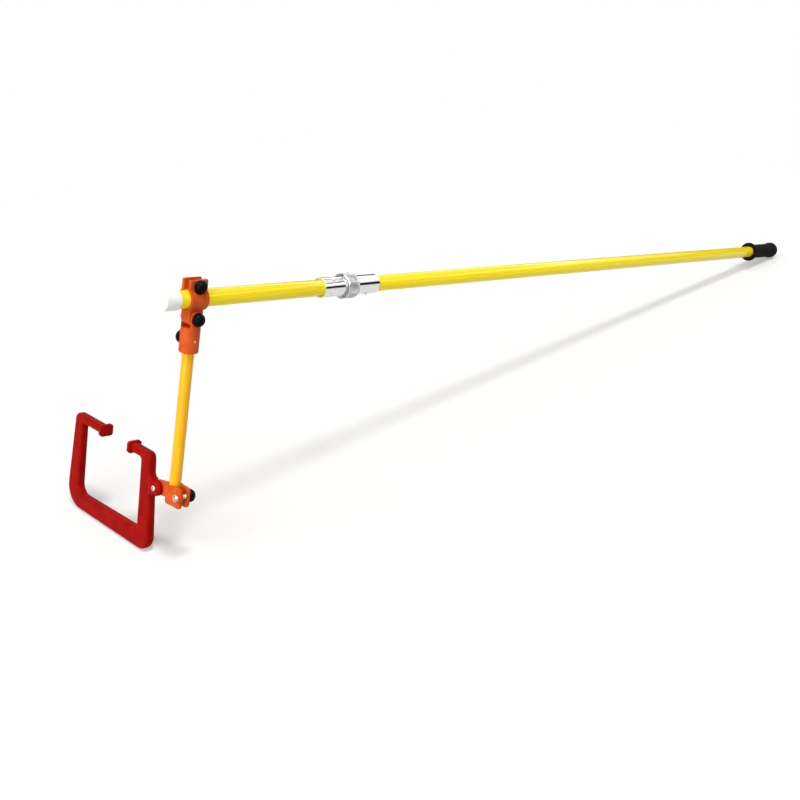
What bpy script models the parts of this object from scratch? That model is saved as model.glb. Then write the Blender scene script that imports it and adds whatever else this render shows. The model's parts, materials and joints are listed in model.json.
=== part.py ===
# Insulated installation pole: a two-piece pole joined by a screwed coupling, with a head
# clamp, a hinged rod and a swivelling C-shaped holder. Metres, +Z up, and +X runs from the
# head of the pole towards its grip. The pole is modelled in its own frame, with X along the
# pole, Y across it and Z away from the hanging rod, and then tilted to stand on the floor.

import math

import bmesh
import bpy
from mathutils import Matrix, Vector

# Clearances
seat_gap = 0.0003
running_gap = 0.0004
bolt_gap = 0.0003

# Pole tubes
pole_length = 2.168
pole_radius = 0.015
pole_wall = 0.0028

# Front cap and rear grip
cap_length = 0.023
cap_wall = 0.0014
cap_end = 0.003
grip_length = 0.161
grip_wall = 0.0027
grip_flange_radius = 0.023
grip_flange_width = 0.006
grip_end = 0.008
grip_groove_depth = 0.0010
grip_groove_half = 0.0022
grip_groove_count = 6

# Coupling, measured from the front end of the pole
coupling_front = 0.332
sleeve_length = 0.060
sleeve_wall = 0.0010
nut_length = 0.029
nut_radius = 0.020
nut_lip = 0.0048
nut_flute_depth = 0.0006
nut_flutes = 27
thread_radius = 0.0172
collar_length = 0.004
spigot_radius = 0.011
spigot_length = 0.030
rear_body_length = 0.053
tube_seat_depth = 0.038
core_wall = 0.0045
rivet_radius = 0.0028
rivet_head_height = 0.0012
rivet_inset = 0.014

# Head clamp
clamp_center = 0.055
clamp_width = 0.035
clamp_wall = 0.0044
clamp_round = 0.0010
ear_gap = 0.012
ear_thickness = 0.006
ear_top = 0.0335
ear_corner = 0.003
ear_bolt_height = 0.0225
lug_thickness = 0.023
lug_radius = 0.0135
hinge_place = 0.0540
hinge_drop = 0.0315

# Rod socket and rod
rod_lean = math.radians(0.72)
rod_radius = 0.010
rod_end_drop = 0.3300
rod_chamfer = 0.0015
socket_radius = 0.0164
socket_end_drop = 0.0585
socket_chamfer = 0.0012
cheek_radius = 0.0130
cheek_flat = 0.0150
fork_floor_gap = 0.0017
rod_top_drop = 0.0200
socket_bolt_drop = 0.0375

# Bolts, nuts, washers and knobs
bolt_radius = 0.0040
socket_bolt_radius = 0.0030
bolt_chamfer = 0.0006
bolt_past_nut = 0.0018
nut_across_flats = 0.013
nut_thickness = 0.0065
washer_radius = 0.0080
washer_thickness = 0.0016
knob_radius = 0.0116
knob_height = 0.0130
knob_skirt = 0.0060
knob_bore_depth = 0.0080
knob_flute_depth = 0.0009
knob_flutes = 10

# Rod clamp
rod_clamp_drop = 0.3100
rod_clamp_height = 0.033
rod_clamp_ear_height = 0.036
rod_clamp_wall = 0.0046
rod_clamp_ear_gap = 0.010
rod_clamp_ear_reach = 0.0300
rod_clamp_bolt_reach = 0.0225
rod_clamp_bolt_rise = 0.0020
rod_clamp_ear_corner = 0.006
nut_boss_radius = 0.0098
nut_boss_height = 0.0030
tongue_thickness = 0.0064
tongue_radius = 0.0135
tongue_root_height = 0.028

# C-shaped holder, with its pivot as the origin
pivot_reach = 0.048
pivot_drop = 0.3180
pivot_radius = 0.0035
pivot_head_radius = 0.0052
pivot_head_height = 0.0016
frame_depth = 0.0168
frame_edge_round = 0.0046
frame_foot_drop = 0.1271
frame_arm_rise = 0.0570
frame_near_foot = 0.0020
frame_near_top = 0.0190
frame_foot_width = 0.263
frame_top_width = 0.233
near_foot_width = 0.038
near_top_width = 0.025
far_foot_width = 0.036
far_top_width = 0.022
base_height = 0.0300
arm_height = 0.0160
lap_lug_radius = 0.0145
lap_fillet = 0.008
foot_near_round = 0.027
foot_far_round = 0.042
inner_far_round = 0.019
inner_near_round = 0.003
shoulder_round = 0.012
arm_fillet = 0.006
near_arm_length = 0.061
jaw_gap = 0.081
jaw_thickness = 0.0072
jaw_length = 0.027
jaw_height = 0.0200
jaw_chamfer = 0.0036

# Fineness of round shapes
round_segments = 36
small_segments = 24
corner_segments = 6

# Worked-out places and sizes
tube_bore = pole_radius - pole_wall
bore_over_tube = pole_radius + seat_gap
coupling_joint = coupling_front + sleeve_length
nut_end = coupling_joint + nut_length
rear_ferrule_end = nut_end + rear_body_length
ferrule_radius = bore_over_tube + sleeve_wall
rear_tube_start = rear_ferrule_end - tube_seat_depth
front_tube_end = coupling_front + tube_seat_depth
collar_front = coupling_joint + nut_lip + running_gap
collar_back = collar_front + collar_length
nose_front = collar_back + seat_gap
thread_bore = thread_radius + running_gap
clamp_radius = pole_radius + running_gap + clamp_wall
ear_face = ear_gap / 2 + ear_thickness
fork_half_gap = lug_thickness / 2 + running_gap
rod_clamp_radius = rod_radius + running_gap + rod_clamp_wall
rod_clamp_ear_face = rod_clamp_ear_gap / 2 + ear_thickness

along_pole = Vector((1, 0, 0))
across_pole = Vector((0, 1, 0))
away_from_rod = Vector((0, 0, 1))


def clear_scene():
    for item in list(bpy.data.objects):
        bpy.data.objects.remove(item, do_unlink=True)


def make_material(name, color, roughness, metallic=0.0):
    material = bpy.data.materials.new(name)
    material.use_nodes = True
    shader = material.node_tree.nodes["Principled BSDF"]
    shader.inputs["Base Color"].default_value = (*color, 1.0)
    shader.inputs["Roughness"].default_value = roughness
    shader.inputs["Metallic"].default_value = metallic
    return material


def make_empty(name, parent=None, location=(0, 0, 0)):
    empty = bpy.data.objects.new(name, None)
    bpy.context.scene.collection.objects.link(empty)
    empty.empty_display_size = 0.02
    empty.parent = parent
    empty.location = location
    return empty


def make_object(name, shape, parent=None, location=(0, 0, 0), material=None):
    bmesh.ops.remove_doubles(shape, verts=shape.verts, dist=1e-7)
    bmesh.ops.recalc_face_normals(shape, faces=shape.faces)
    mesh = bpy.data.meshes.new(name)
    shape.to_mesh(mesh)
    shape.free()
    mesh.shade_smooth()
    mesh.set_sharp_from_angle(angle=math.radians(32))
    item = bpy.data.objects.new(name, mesh)
    bpy.context.scene.collection.objects.link(item)
    item.parent = parent
    item.location = location
    if material:
        mesh.materials.append(material)
    return item


def facing(direction):
    # Turns a shape made along Z so that its Z points along the given direction.
    return Vector((0, 0, 1)).rotation_difference(Vector(direction)).to_matrix().to_4x4()


def turned(profile, direction, segments=round_segments):
    # Spins (place along the axis, radius) points into a closed solid round that axis.
    shape = bmesh.new()
    points = [shape.verts.new((radius, 0, place)) for place, radius in profile]
    pairs = list(zip(points, points[1:]))
    if profile[0][1] > 0:
        pairs.append((points[-1], points[0]))
    edges = [shape.edges.new(pair) for pair in pairs]
    bmesh.ops.spin(shape, geom=points + edges, cent=(0, 0, 0), axis=(0, 0, 1),
                   angle=math.tau, steps=segments, use_merge=True)
    bmesh.ops.remove_doubles(shape, verts=shape.verts, dist=1e-7)
    bmesh.ops.transform(shape, matrix=facing(direction), verts=shape.verts)
    return shape


def rod_shape(start, end, radius, direction, chamfer=0.0, segments=small_segments):
    profile = [(start, 0), (start, radius - chamfer), (start + chamfer, radius)]
    profile += [(end - chamfer, radius), (end, radius - chamfer), (end, 0)]
    if chamfer == 0:
        profile = [(start, 0), (start, radius), (end, radius), (end, 0)]
    return turned(profile, direction, segments)


def pipe_shape(start, end, outer, inner, direction, segments=round_segments):
    profile = [(start, inner), (start, outer), (end, outer), (end, inner)]
    return turned(profile, direction, segments)


def corner_arc(before, corner, after, radius, segments=corner_segments):
    # Points of a round corner that touches both sides of an outline.
    to_before = (before - corner).normalized()
    to_after = (after - corner).normalized()
    half_angle = to_before.angle(to_after) / 2
    reach = radius / math.tan(half_angle)
    center = corner + (to_before + to_after).normalized() * (radius / math.sin(half_angle))
    start = corner + to_before * reach - center
    sweep = math.pi - 2 * half_angle
    end = corner + to_after * reach - center
    sense = 1 if start.cross(end) > 0 else -1
    points = []
    for step in range(segments + 1):
        angle = sense * sweep * step / segments
        turned_x = start.x * math.cos(angle) - start.y * math.sin(angle)
        turned_y = start.x * math.sin(angle) + start.y * math.cos(angle)
        points.append(center + Vector((turned_x, turned_y)))
    return points


def rounded_outline(corners, inset=0.0):
    # corners hold (x, y, radius), counter-clockwise. An inset moves every side inwards.
    places = [Vector((x, y)) for x, y, radius in corners]
    count = len(places)
    moved = []
    for index, place in enumerate(places):
        coming = (place - places[index - 1]).normalized()
        leaving = (places[(index + 1) % count] - place).normalized()
        inward_coming = Vector((-coming.y, coming.x))
        inward_leaving = Vector((-leaving.y, leaving.x))
        mitre = inward_coming + inward_leaving
        moved.append(place + mitre * (inset / mitre.dot(inward_coming)))
    points = []
    for index, corner in enumerate(moved):
        before = moved[index - 1]
        after = moved[(index + 1) % count]
        radius = corners[index][2]
        bend = (corner - before).cross(after - corner)
        if radius > 0:
            radius = radius - inset if bend > 0 else radius + inset
            points += corner_arc(before, corner, after, radius)
        else:
            points.append(corner)
    return points


def slab(corners, depth, direction_axes, edge_round=0.0, steps=3):
    # Lofts an outline through its depth, centred, with rounded edges on both faces.
    across, up, through = direction_axes
    layers = []
    for step in range(steps + 1 if edge_round else 1):
        angle = math.pi / 2 * step / steps
        inset = edge_round * (1 - math.sin(angle))
        level = depth / 2 - edge_round * (1 - math.cos(angle))
        layers.append((level, inset))
    if edge_round:
        layers = sorted(layers, key=lambda layer: -layer[0])
        levels = [(-level, inset) for level, inset in layers]
        levels += [(level, inset) for level, inset in reversed(layers)]
    else:
        levels = [(-depth / 2, 0.0), (depth / 2, 0.0)]
    shape = bmesh.new()
    rings = []
    for level, inset in levels:
        ring = []
        for point in rounded_outline(corners, inset):
            ring.append(shape.verts.new(across * point.x + up * point.y + through * level))
        rings.append(ring)
    for lower, upper in zip(rings, rings[1:]):
        for index in range(len(lower)):
            other = (index + 1) % len(lower)
            shape.faces.new((lower[index], lower[other], upper[other], upper[index]))
    shape.faces.new(list(reversed(rings[0])))
    shape.faces.new(rings[-1])
    return shape


def box_shape(low, high):
    shape = bmesh.new()
    size = Vector(high) - Vector(low)
    middle = (Vector(high) + Vector(low)) / 2
    placing = Matrix.Translation(middle) @ Matrix.Diagonal((*size, 1))
    bmesh.ops.create_cube(shape, size=1, matrix=placing)
    return shape


def shifted(shape, offset):
    bmesh.ops.translate(shape, vec=Vector(offset), verts=shape.verts)
    return shape


def combine(item, tool_shape, operation):
    # Applies one Boolean to an object and removes the tool. The exact solver leaves open
    # slivers where a hole opens in a face that an earlier cut made, so this one is MANIFOLD.
    tool = make_object("tool", tool_shape)
    tool.hide_render = True
    tool.display_type = "WIRE"
    plain_parent, plain_location = item.parent, item.location.copy()
    item.parent = None
    item.location = (0, 0, 0)
    modifier = item.modifiers.new("combine", "BOOLEAN")
    modifier.operation = operation
    modifier.solver = "MANIFOLD"
    modifier.object = tool
    bpy.context.view_layer.update()
    graph = bpy.context.evaluated_depsgraph_get()
    result = bpy.data.meshes.new_from_object(item.evaluated_get(graph))
    item.modifiers.clear()
    item.data = result
    item.parent = plain_parent
    item.location = plain_location
    bpy.data.objects.remove(tool, do_unlink=True)


def finish(item):
    # Cleans a cut mesh and shades it smooth except along its real edges.
    shape = bmesh.new()
    shape.from_mesh(item.data)
    bmesh.ops.remove_doubles(shape, verts=shape.verts, dist=2e-6)
    bmesh.ops.dissolve_degenerate(shape, edges=shape.edges, dist=1e-6)
    shape.to_mesh(item.data)
    shape.free()
    item.data.shade_smooth()
    item.data.set_sharp_from_angle(angle=math.radians(32))


def make_materials():
    return {
        "fibreglass": make_material("yellow fibreglass", (0.83, 0.68, 0.02), 0.25),
        "rod": make_material("amber fibreglass", (0.90, 0.52, 0.02), 0.28),
        "clamp": make_material("orange nylon", (0.85, 0.15, 0.03), 0.42),
        "holder": make_material("red coated casting", (0.45, 0.005, 0.004), 0.38),
        "black": make_material("black plastic", (0.006, 0.006, 0.007), 0.35),
        "rubber": make_material("black rubber", (0.010, 0.010, 0.011), 0.80),
        "cap": make_material("white plastic", (0.82, 0.80, 0.78), 0.45),
        "chrome": make_material("polished alloy", (0.80, 0.81, 0.83), 0.12, 1.0),
        "knurl": make_material("knurled alloy", (0.42, 0.43, 0.45), 0.42, 1.0),
        "zinc": make_material("plated steel", (0.66, 0.65, 0.62), 0.32, 1.0),
    }


def front_tube(parent, materials):
    shape = pipe_shape(cap_end + seat_gap, front_tube_end, pole_radius, tube_bore, along_pole)
    return make_object("front_tube", shape, parent, material=materials["fibreglass"])


def rear_tube(parent, materials):
    end = pole_length - grip_end - seat_gap
    shape = pipe_shape(rear_tube_start + seat_gap, end, pole_radius, tube_bore, along_pole)
    return make_object("rear_tube", shape, parent, material=materials["fibreglass"])


def front_cap(parent, materials):
    outer = bore_over_tube + cap_wall
    edge = cap_wall
    profile = [(0, 0), (0, outer - edge), (edge * 0.3, outer - edge * 0.3), (edge, outer)]
    profile += [(cap_length, outer), (cap_length, bore_over_tube)]
    profile += [(cap_end, bore_over_tube), (cap_end, 0)]
    return make_object("front_cap", turned(profile, along_pole), parent, material=materials["cap"])


def grip(parent, materials):
    # A cup over the end of the pole. Its profile runs from the middle of the closed end,
    # along the outside to the open mouth and back along the bore.
    start = pole_length - grip_length
    outer = bore_over_tube + grip_wall
    dome = outer * 0.55
    profile = [(pole_length, 0)]
    for step in range(corner_segments + 1):
        angle = math.pi / 2 * (1 - step / corner_segments)
        place = pole_length - dome + dome * math.sin(angle)
        profile.append((place, outer * math.cos(angle) * 0.45 + outer * 0.55))
    groove_span = grip_length - dome - 5 * grip_flange_width
    pitch = groove_span / grip_groove_count
    for index in reversed(range(grip_groove_count)):
        place = start + 3 * grip_flange_width + pitch * (index + 0.5)
        profile += [(place + grip_groove_half, outer), (place, outer - grip_groove_depth)]
        profile += [(place - grip_groove_half, outer)]
    rim = 0.0015
    profile += [(start + grip_flange_width + rim, outer)]
    profile += [(start + grip_flange_width, grip_flange_radius - rim)]
    profile += [(start + grip_flange_width - rim, grip_flange_radius)]
    profile += [(start + rim, grip_flange_radius), (start, grip_flange_radius - rim)]
    profile += [(start, bore_over_tube), (pole_length - grip_end, bore_over_tube)]
    profile += [(pole_length - grip_end, 0)]
    return make_object("grip", turned(profile, along_pole), parent, material=materials["rubber"])


def front_ferrule(parent, materials):
    # A sleeve over the tube, a collar that the coupling nut pulls on, and a spigot.
    outer = ferrule_radius
    spigot_end = collar_back + spigot_length
    chamfer = 0.001
    web = front_tube_end + seat_gap
    profile = [(coupling_front, bore_over_tube), (coupling_front, outer - chamfer / 2)]
    profile += [(coupling_front + chamfer / 2, outer), (collar_front, outer)]
    profile += [(collar_front, thread_radius), (collar_back, thread_radius)]
    profile += [(collar_back, spigot_radius), (spigot_end - chamfer, spigot_radius)]
    profile += [(spigot_end, spigot_radius - chamfer), (spigot_end, spigot_radius - core_wall)]
    profile += [(web, spigot_radius - core_wall), (web, bore_over_tube)]
    return make_object("front_ferrule", turned(profile, along_pole), parent,
                       material=materials["chrome"])


def rear_ferrule(parent, materials):
    # A threaded nose inside the nut, a bore for the spigot and a sleeve over the rear tube.
    outer = ferrule_radius
    bore = spigot_radius + running_gap
    chamfer = 0.001
    relief = nut_end - 2 * chamfer
    profile = [(nose_front, bore + chamfer), (nose_front, thread_radius - chamfer)]
    profile += [(nose_front + chamfer, thread_radius), (relief, thread_radius)]
    profile += [(relief + chamfer, outer), (rear_ferrule_end - chamfer / 2, outer)]
    profile += [(rear_ferrule_end, outer - chamfer / 2), (rear_ferrule_end, bore_over_tube)]
    profile += [(rear_tube_start, bore_over_tube), (rear_tube_start, bore)]
    profile += [(nose_front + chamfer, bore)]
    return make_object("rear_ferrule", turned(profile, along_pole), parent,
                       material=materials["chrome"])


def coupling_nut(parent, materials):
    # A fluted ring nut whose lip catches the collar. Its axis is its own origin.
    lip_bore = ferrule_radius + 2 * running_gap
    chamfer = 0.0012
    flute_start = chamfer * 2
    flute_end = nut_length - flute_start
    profile = [(0, lip_bore), (0, nut_radius - chamfer), (chamfer, nut_radius)]
    profile += [(flute_start, nut_radius), (flute_end, nut_radius)]
    profile += [(nut_length - chamfer, nut_radius), (nut_length, nut_radius - chamfer)]
    profile += [(nut_length, thread_bore), (nut_lip, thread_bore), (nut_lip, lip_bore)]
    ring = turned(profile, along_pole, 2 * nut_flutes)
    tiny = 1e-6
    for vertex in ring.verts:
        in_band = flute_start - tiny < vertex.co.x < flute_end + tiny
        if in_band and vertex.co.yz.length > nut_radius - tiny:
            angle = math.atan2(vertex.co.z, vertex.co.y)
            if round(angle / math.pi * nut_flutes) % 2:
                vertex.co.yz = vertex.co.yz.normalized() * (nut_radius - nut_flute_depth)
    return make_object("coupling_nut", ring, parent, (coupling_joint, 0, 0), materials["knurl"])


def rivet(name, parent, place, direction, materials):
    # A domed rivet head standing on a ferrule.
    foot = ferrule_radius + seat_gap
    profile = [(foot, 0), (foot, rivet_radius)]
    for step in range(1, 4):
        angle = math.pi / 2 * step / 4
        profile.append((foot + rivet_head_height * math.sin(angle), rivet_radius * math.cos(angle)))
    profile.append((foot + rivet_head_height, 0))
    return make_object(name, turned(profile, direction, small_segments), parent,
                       (place, 0, 0), materials["zinc"])


def hex_nut(name, parent, location, start, direction, materials):
    # The bore stays round because only the outer ring of points is six-sided.
    shape = bmesh.new()
    corner_radius = nut_across_flats / 2 / math.cos(math.pi / 6)
    hole = bolt_radius + bolt_gap
    segments = small_segments
    rings = []
    for level, wanted in ((start, "outer"), (start + nut_thickness, "outer"),
                          (start + nut_thickness, "inner"), (start, "inner")):
        ring = []
        for index in range(segments):
            angle = math.tau * index / segments
            if wanted == "inner":
                radius = hole
            else:
                nearest_flat = round((angle - math.pi / 6) / (math.pi / 3)) * math.pi / 3
                offset = angle - math.pi / 6 - nearest_flat
                radius = corner_radius * math.cos(math.pi / 6) / math.cos(offset)
            ring.append(shape.verts.new((radius * math.cos(angle), radius * math.sin(angle), level)))
        rings.append(ring)
    rings.append(rings[0])
    for lower, upper in zip(rings, rings[1:]):
        for index in range(segments):
            other = (index + 1) % segments
            shape.faces.new((lower[index], lower[other], upper[other], upper[index]))
    bmesh.ops.transform(shape, matrix=facing(direction), verts=shape.verts)
    return make_object(name, shape, parent, location, materials["zinc"])


def washer(name, parent, location, start, direction, materials):
    shape = pipe_shape(start, start + washer_thickness, washer_radius, bolt_radius + bolt_gap,
                       direction, small_segments)
    return make_object(name, shape, parent, location, materials["zinc"])


def bolt(name, parent, start, end, radius, direction, materials):
    shape = rod_shape(start, end, radius, direction, bolt_chamfer)
    return make_object(name, shape, parent, material=materials["zinc"])


def knob(name, parent, start, hole_radius, direction, materials):
    # A fluted domed hand knob, hollow at its foot for the end of its bolt.
    shape = bmesh.new()
    segments = 2 * knob_flutes
    dome = knob_height - knob_skirt
    levels = [(0.0, 0.92), (0.0008, 1.0), (knob_skirt, 1.0)]
    for step in range(1, 5):
        angle = math.pi / 2 * step / 5
        levels.append((knob_skirt + dome * math.sin(angle), math.cos(angle) ** 0.8))
    rings = []
    for level, share in levels:
        ring = []
        for index in range(segments):
            angle = math.tau * index / segments
            fluted = knob_flute_depth * (index % 2) * share
            radius = knob_radius * share - fluted
            ring.append(shape.verts.new((radius * math.cos(angle), radius * math.sin(angle),
                                         start + level)))
        rings.append(ring)
    for lower, upper in zip(rings, rings[1:]):
        for index in range(segments):
            other = (index + 1) % segments
            shape.faces.new((lower[index], lower[other], upper[other], upper[index]))
    top = shape.verts.new((0, 0, start + knob_height))
    for index in range(segments):
        shape.faces.new((rings[-1][index], rings[-1][(index + 1) % segments], top))
    shape.faces.new(list(reversed(rings[0])))
    bmesh.ops.transform(shape, matrix=facing(direction), verts=shape.verts)
    item = make_object(name, shape, parent, material=materials["black"])
    over = 0.001
    combine(item, rod_shape(start - over, start + knob_bore_depth, hole_radius, direction),
            "DIFFERENCE")
    finish(item)
    return item


def head_clamp(parent, materials):
    # A split ring round the pole, two ears above it and a hinge lug below. The object's
    # origin is on the pole's axis at the middle of the clamp.
    ring = rod_shape(-clamp_width / 2, clamp_width / 2, clamp_radius, along_pole, clamp_round,
                     round_segments)
    item = make_object("head_clamp", ring, parent, (clamp_center, 0, 0), materials["clamp"])
    ears = [(-ear_face, 0, 0), (ear_face, 0, 0), (ear_face, ear_top, ear_corner)]
    ears += [(-ear_face, ear_top, ear_corner)]
    axes = (across_pole, away_from_rod, along_pole)
    combine(item, slab(ears, clamp_width, axes, clamp_round), "UNION")
    lug_place = hinge_place - clamp_center
    lug = [(lug_place - lug_radius, -hinge_drop - lug_radius, lug_radius * 0.999)]
    lug += [(lug_place + lug_radius, -hinge_drop - lug_radius, lug_radius * 0.999)]
    lug += [(lug_place + lug_radius, -pole_radius * 0.6, 0)]
    lug += [(lug_place - lug_radius, -pole_radius * 0.6, 0)]
    axes = (along_pole, away_from_rod, across_pole * -1)
    combine(item, slab(lug, lug_thickness, axes, clamp_round), "UNION")
    over = 0.002
    half = clamp_width / 2 + over
    bore = rod_shape(-half, half, pole_radius + running_gap, along_pole, 0, round_segments)
    combine(item, bore, "DIFFERENCE")
    slot = box_shape((-half, -ear_gap / 2, pole_radius * 0.4), (half, ear_gap / 2, ear_top + over))
    combine(item, slot, "DIFFERENCE")
    hole = bolt_radius + bolt_gap
    through = ear_face + over
    for side in (-1, 1):
        flat = rod_shape(ear_face, clamp_radius + over, knob_radius + running_gap,
                         across_pole * side, 0, round_segments)
        combine(item, shifted(flat, (0, 0, ear_bolt_height)), "DIFFERENCE")
    ear_hole = rod_shape(-through, through, hole, across_pole)
    combine(item, shifted(ear_hole, (0, 0, ear_bolt_height)), "DIFFERENCE")
    lug_hole = rod_shape(-through, through, hole, across_pole)
    combine(item, shifted(lug_hole, (lug_place, 0, -hinge_drop)), "DIFFERENCE")
    finish(item)
    return item


def head_clamp_fasteners(clamp_seat, materials):
    place = (0, 0, ear_bolt_height)
    washer_start = ear_face + seat_gap
    nut_start = washer_start + washer_thickness + seat_gap
    end = nut_start + nut_thickness + bolt_past_nut
    washer("head_clamp_washer", clamp_seat, place, washer_start, across_pole, materials)
    hex_nut("head_clamp_nut", clamp_seat, place, nut_start, across_pole, materials)
    axis = make_empty("head_clamp_bolt_axis", clamp_seat, place)
    knob_start = ear_face + seat_gap
    bolt_start = -(knob_start + knob_bore_depth - seat_gap)
    bolt("head_clamp_bolt", axis, bolt_start, end, bolt_radius, across_pole, materials)
    knob("head_clamp_knob", axis, knob_start, bolt_radius + bolt_gap, across_pole * -1, materials)


def rod_socket(parent, materials):
    # A forked cylinder: its cheeks take the clamp's lug and its bore takes the rod.
    top = cheek_radius
    profile = [(-socket_end_drop, 0), (-socket_end_drop, socket_radius - socket_chamfer)]
    profile += [(-socket_end_drop + socket_chamfer, socket_radius), (top, socket_radius)]
    profile += [(top, 0)]
    item = make_object("rod_socket", turned(profile, away_from_rod), parent,
                       material=materials["clamp"])
    over = 0.002
    wide = socket_radius + over
    fork = [(-wide, -socket_end_drop - over, 0), (wide, -socket_end_drop - over, 0)]
    fork += [(wide, 0, 0), (cheek_radius, 0, 0)]
    fork += [(cheek_radius, cheek_radius, cheek_radius * 0.999)]
    fork += [(-cheek_radius, cheek_radius, cheek_radius * 0.999)]
    fork += [(-cheek_radius, 0, 0), (-wide, 0, 0)]
    axes = (along_pole, away_from_rod, across_pole * -1)
    combine(item, slab(fork, 2 * wide, axes), "INTERSECT")
    floor = -lug_radius - fork_floor_gap
    slot = box_shape((-wide, -fork_half_gap, floor), (wide, fork_half_gap, top + over))
    combine(item, slot, "DIFFERENCE")
    bore = rod_shape(-socket_end_drop - over, -rod_top_drop + seat_gap, rod_radius + seat_gap,
                     away_from_rod, 0, round_segments)
    combine(item, bore, "DIFFERENCE")
    for side in (-1, 1):
        flat = rod_shape(cheek_flat, wide, knob_radius + running_gap, across_pole * side, 0,
                         round_segments)
        combine(item, flat, "DIFFERENCE")
    hinge_hole = rod_shape(-wide, wide, bolt_radius + bolt_gap, across_pole)
    combine(item, hinge_hole, "DIFFERENCE")
    lock_hole = rod_shape(-wide, wide, socket_bolt_radius + bolt_gap, across_pole)
    combine(item, shifted(lock_hole, (0, 0, -socket_bolt_drop)), "DIFFERENCE")
    finish(item)
    return item


def hinge_fasteners(swing, materials):
    washer_start = cheek_flat + seat_gap
    nut_start = washer_start + washer_thickness + seat_gap
    end = nut_start + nut_thickness + bolt_past_nut
    washer("hinge_washer", swing, (0, 0, 0), washer_start, across_pole, materials)
    hex_nut("hinge_nut", swing, (0, 0, 0), nut_start, across_pole, materials)
    axis = make_empty("hinge_bolt_axis", swing)
    knob_start = cheek_flat + seat_gap
    bolt_start = -(knob_start + knob_bore_depth - seat_gap)
    bolt("hinge_bolt", axis, bolt_start, end, bolt_radius, across_pole, materials)
    knob("hinge_knob", axis, knob_start, bolt_radius + bolt_gap, across_pole * -1, materials)


def socket_fasteners(swing, materials):
    # The bolt that locks the rod runs right through it, with its knob on the far side.
    axis = make_empty("socket_bolt_axis", swing, (0, 0, -socket_bolt_drop))
    knob_start = socket_radius + seat_gap
    bolt_end = knob_start + knob_bore_depth - seat_gap
    bolt("socket_bolt", axis, -socket_radius - bolt_chamfer, bolt_end, socket_bolt_radius,
         across_pole, materials)
    knob("socket_knob", axis, knob_start, socket_bolt_radius + bolt_gap, across_pole, materials)


def rod(swing, materials):
    shape = rod_shape(-rod_end_drop, -rod_top_drop, rod_radius, away_from_rod, rod_chamfer,
                      round_segments)
    item = make_object("rod", shape, swing, material=materials["rod"])
    hole = rod_shape(-2 * rod_radius, 2 * rod_radius, socket_bolt_radius + bolt_gap, across_pole)
    combine(item, shifted(hole, (0, 0, -socket_bolt_drop)), "DIFFERENCE")
    finish(item)
    return item


def rod_clamp(parent, materials):
    # A split ring on the rod with two ears on the near side and a tongue on the far side.
    # The object's origin is on the rod's axis at the middle of the ring.
    half_height = rod_clamp_height / 2
    ring = rod_shape(-half_height, half_height, rod_clamp_radius, away_from_rod, clamp_round,
                     round_segments)
    item = make_object("rod_clamp", ring, parent, material=materials["clamp"])
    ear_half = rod_clamp_ear_height / 2
    ears = [(-rod_clamp_ear_reach, -ear_half, rod_clamp_ear_corner), (0, -ear_half, 0)]
    ears += [(0, ear_half, 0), (-rod_clamp_ear_reach, ear_half, rod_clamp_ear_corner)]
    axes = (across_pole, away_from_rod, along_pole)
    combine(item, slab(ears, 2 * rod_clamp_ear_face, axes, clamp_round), "UNION")
    bolt_place = Vector((0, -rod_clamp_bolt_reach, rod_clamp_bolt_rise))
    boss_top = rod_clamp_ear_face + nut_boss_height
    boss = rod_shape(0, boss_top, nut_boss_radius, along_pole * -1, clamp_round)
    combine(item, shifted(boss, bolt_place), "UNION")
    pivot_rise = rod_clamp_drop - pivot_drop
    root = tongue_root_height / 2
    tongue = [(rod_radius * 0.5, -root, 0)]
    for step in range(2 * corner_segments + 1):
        angle = math.pi * step / (2 * corner_segments) - math.pi / 2
        reach = pivot_reach + tongue_radius * math.cos(angle)
        tongue.append((reach, pivot_rise + tongue_radius * math.sin(angle), 0))
    tongue.append((rod_radius * 0.5, root, 0))
    tongue_back = frame_depth / 2
    tongue_shape = slab(tongue, tongue_thickness, axes, clamp_round / 2)
    tongue_middle = tongue_back - tongue_thickness / 2
    combine(item, shifted(tongue_shape, (tongue_middle, 0, 0)), "UNION")
    over = 0.002
    high = ear_half + over
    bore = rod_shape(-high, high, rod_radius + running_gap, away_from_rod, 0, round_segments)
    combine(item, bore, "DIFFERENCE")
    slot_half = rod_clamp_ear_gap / 2
    slot = box_shape((-slot_half, -rod_clamp_ear_reach - over, -high),
                     (slot_half, -rod_radius * 0.3, high))
    combine(item, slot, "DIFFERENCE")
    wide = boss_top + over
    pocket_radius = (nut_across_flats / 2 + seat_gap) / math.cos(math.pi / 6)
    pocket = turned([(nut_pocket_floor(), 0), (nut_pocket_floor(), pocket_radius),
                     (wide, pocket_radius), (wide, 0)], along_pole * -1, 6)
    combine(item, shifted(pocket, bolt_place), "DIFFERENCE")
    bolt_hole = rod_shape(-wide, wide, bolt_radius + bolt_gap, along_pole)
    combine(item, shifted(bolt_hole, bolt_place), "DIFFERENCE")
    pivot_hole = rod_shape(-wide, wide, pivot_radius + bolt_gap, along_pole)
    combine(item, shifted(pivot_hole, (0, pivot_reach, pivot_rise)), "DIFFERENCE")
    finish(item)
    return item


def nut_pocket_floor():
    return rod_clamp_ear_face + nut_boss_height - nut_thickness * 0.75


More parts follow.
